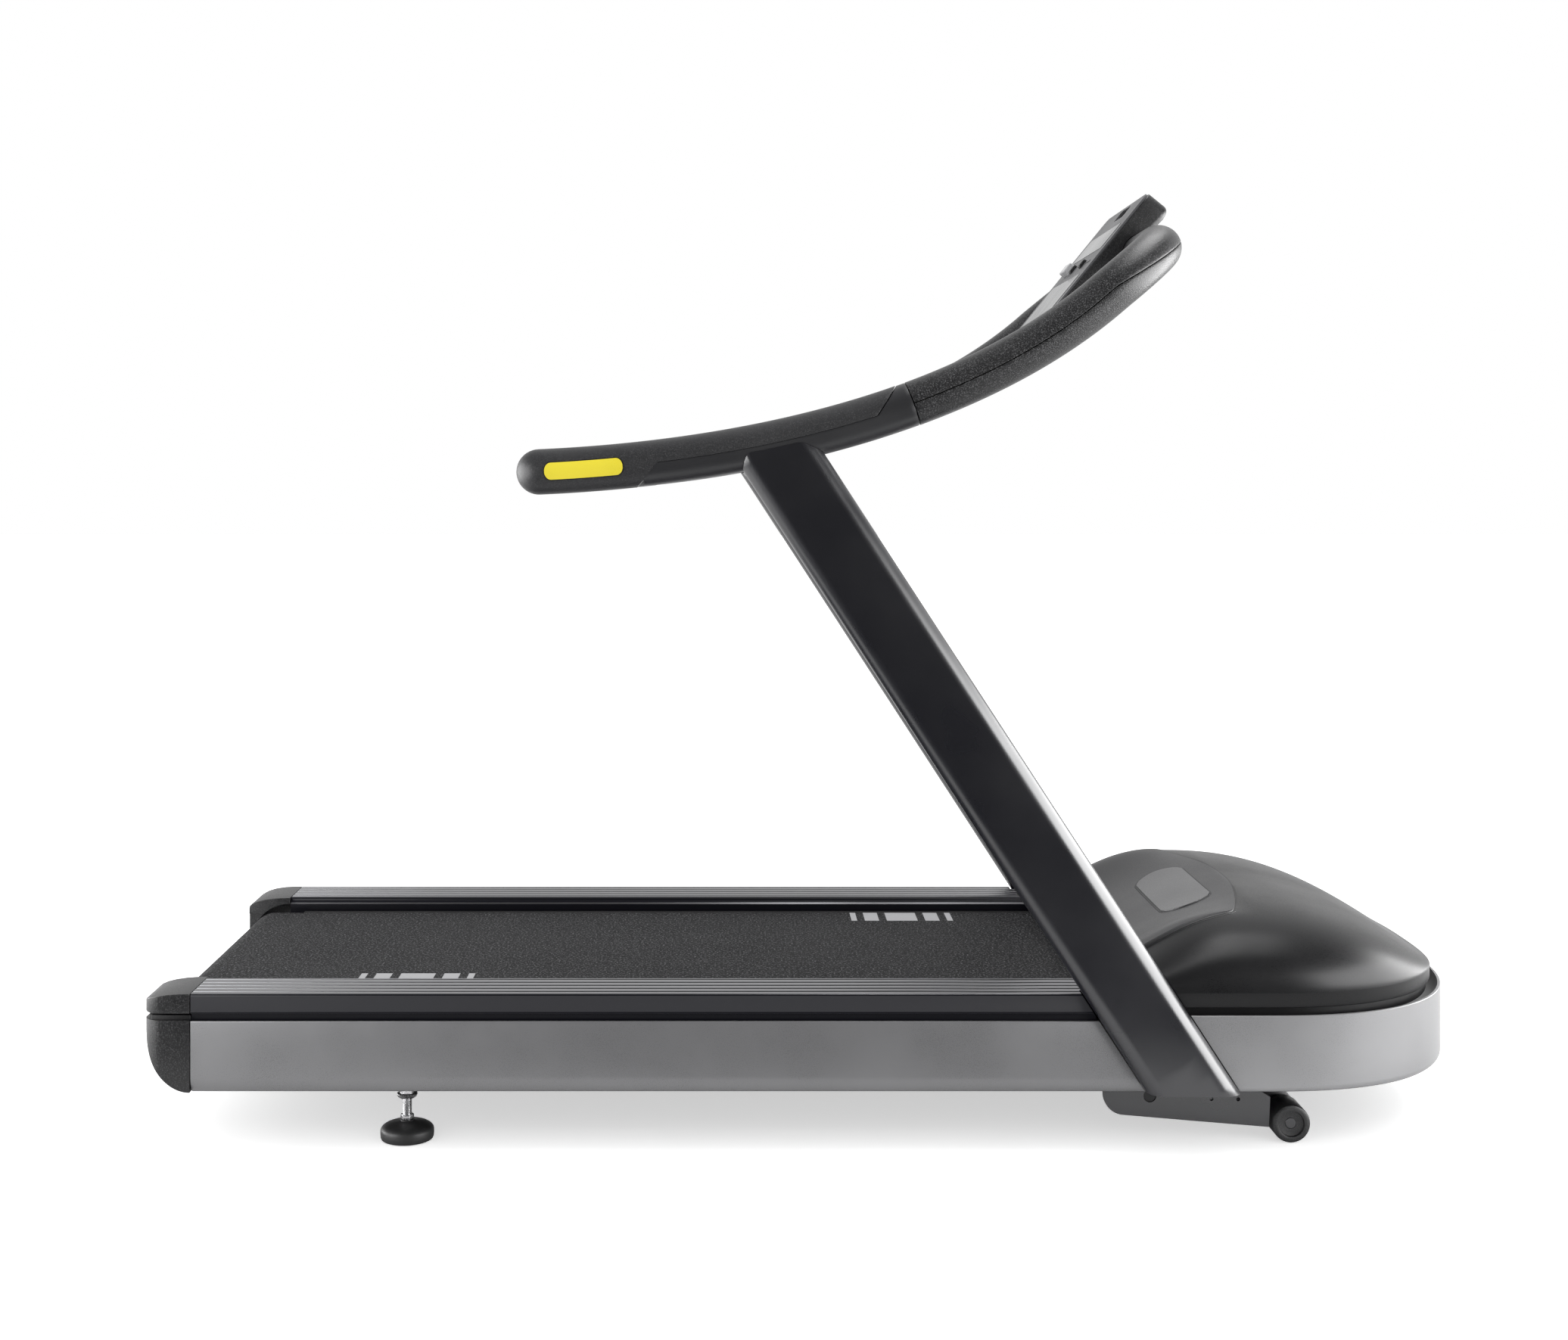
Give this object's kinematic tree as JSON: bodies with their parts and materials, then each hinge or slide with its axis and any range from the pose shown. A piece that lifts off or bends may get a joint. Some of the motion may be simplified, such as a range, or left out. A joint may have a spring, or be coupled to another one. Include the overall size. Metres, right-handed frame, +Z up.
{
  "type": "motorised treadmill",
  "caption": "Flat-belt motorised treadmill with raked uprights, a handrail that sweeps up to a tilted console, a domed motor hood, a lift lever with wheels, and rear levelling feet.",
  "frame": {"origin": "on the floor, under the middle of the machine's overall box", "axes": "+X the way the runner faces, towards the motor hood; +Y the runner's left; +Z up"},
  "size_m": [2, 0.8104, 1.4435],
  "materials": {
    "painted_steel": "satin",
    "silver_paint": "satin metallic",
    "dark_aluminium": "brushed, anodised",
    "black_plastic": "fine texture",
    "hood_plastic": "fine texture",
    "graphite_plastic": "smooth satin",
    "textured_graphite": "grained",
    "rubber": "matt",
    "running_belt": "pebbled",
    "deck_board": "waxed",
    "zinc_steel": "zinc plated",
    "cast_metal": "painted casting",
    "console_glass": "glossy",
    "pale_key": "satin",
    "badge_plate": "satin",
    "yellow_badge": "satin"
  },
  "bodies": {
    "machine": {"console_face": "console_glass", "console_housing": "black_plastic", "deck_cushion_front": "rubber", "deck_cushion_rear": "rubber", "drive_motor": "cast_metal", "foot_rail_left": "dark_aluminium", "foot_rail_right": "dark_aluminium", "front_cross_member": "painted_steel", "front_shell": "silver_paint", "grip_badge_left": "yellow_badge", "grip_badge_right": "yellow_badge", "grip_left": "rubber", "grip_right": "rubber", "handlebar_core": "zinc_steel", "handlebar_lower_cover": "textured_graphite", "handlebar_upper_cover": "textured_graphite", "handrail_left": "graphite_plastic", "handrail_right": "graphite_plastic", "hood_badge": "badge_plate", "idler_axle": "zinc_steel", "lift_pivot": "painted_steel", "main_beam_left": "painted_steel", "main_beam_right": "painted_steel", "mains_inlet": "black_plastic", "middle_cross_member": "painted_steel", "motor_belt": "rubber", "motor_controller": "cast_metal", "motor_hood": "hood_plastic", "motor_tray": "painted_steel", "rear_cap_lower_left": "black_plastic", "rear_cap_lower_right": "black_plastic", "rear_cap_upper_left": "black_plastic", "rear_cap_upper_right": "black_plastic", "rear_cross_member": "painted_steel", "roller_bearing_left": "cast_metal", "roller_bearing_right": "cast_metal", "running_belt": "running_belt", "running_deck": "deck_board", "side_panel_left": "silver_paint", "side_panel_right": "silver_paint", "tension_bolt_left": "zinc_steel", "tension_bolt_right": "zinc_steel", "upright_left": "painted_steel", "upright_right": "painted_steel"},
    "drive_roller": {"drive_roller": "zinc_steel", "drive_pulley": "cast_metal"},
    "idler_roller": {"idler_roller": "zinc_steel"},
    "motor_rotor": {"motor_pulley": "cast_metal"},
    "lift_lever": {"lift_frame": "painted_steel"},
    "wheel_left": {"lift_wheel_left": "rubber"},
    "wheel_right": {"lift_wheel_right": "rubber"},
    "actuator": {"lift_actuator": "cast_metal"},
    "actuator_screw": {"lift_screw": "zinc_steel"},
    "foot_left": {"rear_foot_left": "rubber", "foot_lock_nut_left": "zinc_steel"},
    "foot_right": {"rear_foot_right": "rubber", "foot_lock_nut_right": "zinc_steel"},
    "stop_button": {"stop_button": "pale_key"},
    "speed_key": {"speed_key": "black_plastic"},
    "incline_key": {"incline_key": "black_plastic"}
  },
  "joints": [
    {"name": "drive_roller_spin", "type": "hinge", "parent": "machine", "child": "drive_roller", "pos_m": [0.5, 0, 0.1758], "axis": [0, 1, 0], "continuous": true},
    {"name": "idler_roller_spin", "type": "hinge", "parent": "machine", "child": "idler_roller", "pos_m": [-0.945, 0, 0.1758], "axis": [0, 1, 0], "continuous": true},
    {"name": "motor_spin", "type": "hinge", "parent": "machine", "child": "motor_rotor", "pos_m": [0.705, 0.2655, 0.205], "axis": [0, 1, 0], "continuous": true},
    {"name": "lift_hinge", "type": "hinge", "parent": "machine", "child": "lift_lever", "pos_m": [0.493, 0, 0.068], "axis": [0, 1, 0], "range_deg": [0, 55]},
    {"name": "wheel_left_spin", "type": "hinge", "parent": "lift_lever", "child": "wheel_left", "pos_m": [0.7025, 0.301, 0.0285], "axis": [0, 1, 0], "continuous": true},
    {"name": "wheel_right_spin", "type": "hinge", "parent": "lift_lever", "child": "wheel_right", "pos_m": [0.7025, -0.301, 0.0285], "axis": [0, 1, 0], "continuous": true},
    {"name": "actuator_tilt", "type": "hinge", "parent": "machine", "child": "actuator", "pos_m": [0.6, -0.197, 0.276], "axis": [0, 1, 0], "range_deg": [0, 9.29]},
    {"name": "screw_slide", "type": "slide", "parent": "actuator", "child": "actuator_screw", "axis": [0, 0, -1], "range_m": [0, 0.09]},
    {"name": "foot_left_height", "type": "slide", "parent": "machine", "child": "foot_left", "axis": [0, 0, -1], "range_m": [-0.012, 0.02]},
    {"name": "foot_right_height", "type": "slide", "parent": "machine", "child": "foot_right", "axis": [0, 0, -1], "range_m": [-0.012, 0.02]},
    {"name": "stop_button_press", "type": "slide", "parent": "machine", "child": "stop_button", "axis": [0.776, 0, -0.6307], "range_m": [0, 0.002], "stiffness_N_per_m": 1500},
    {"name": "speed_key_press", "type": "slide", "parent": "machine", "child": "speed_key", "axis": [0.776, 0, -0.6307], "range_m": [0, 0.002], "stiffness_N_per_m": 800},
    {"name": "incline_key_press", "type": "slide", "parent": "machine", "child": "incline_key", "axis": [0.776, 0, -0.6307], "range_m": [0, 0.002], "stiffness_N_per_m": 800}
  ],
  "couplings": [
    {"joint": "idler_roller_spin", "follows": "drive_roller_spin", "ratio": 1},
    {"joint": "motor_spin", "follows": "drive_roller_spin", "ratio": 1.6364},
    {"joint": "actuator_tilt", "follows": "lift_hinge", "ratio": 0.169},
    {"joint": "screw_slide", "follows": "lift_hinge", "m_per_rad": 0.09375}
  ]
}
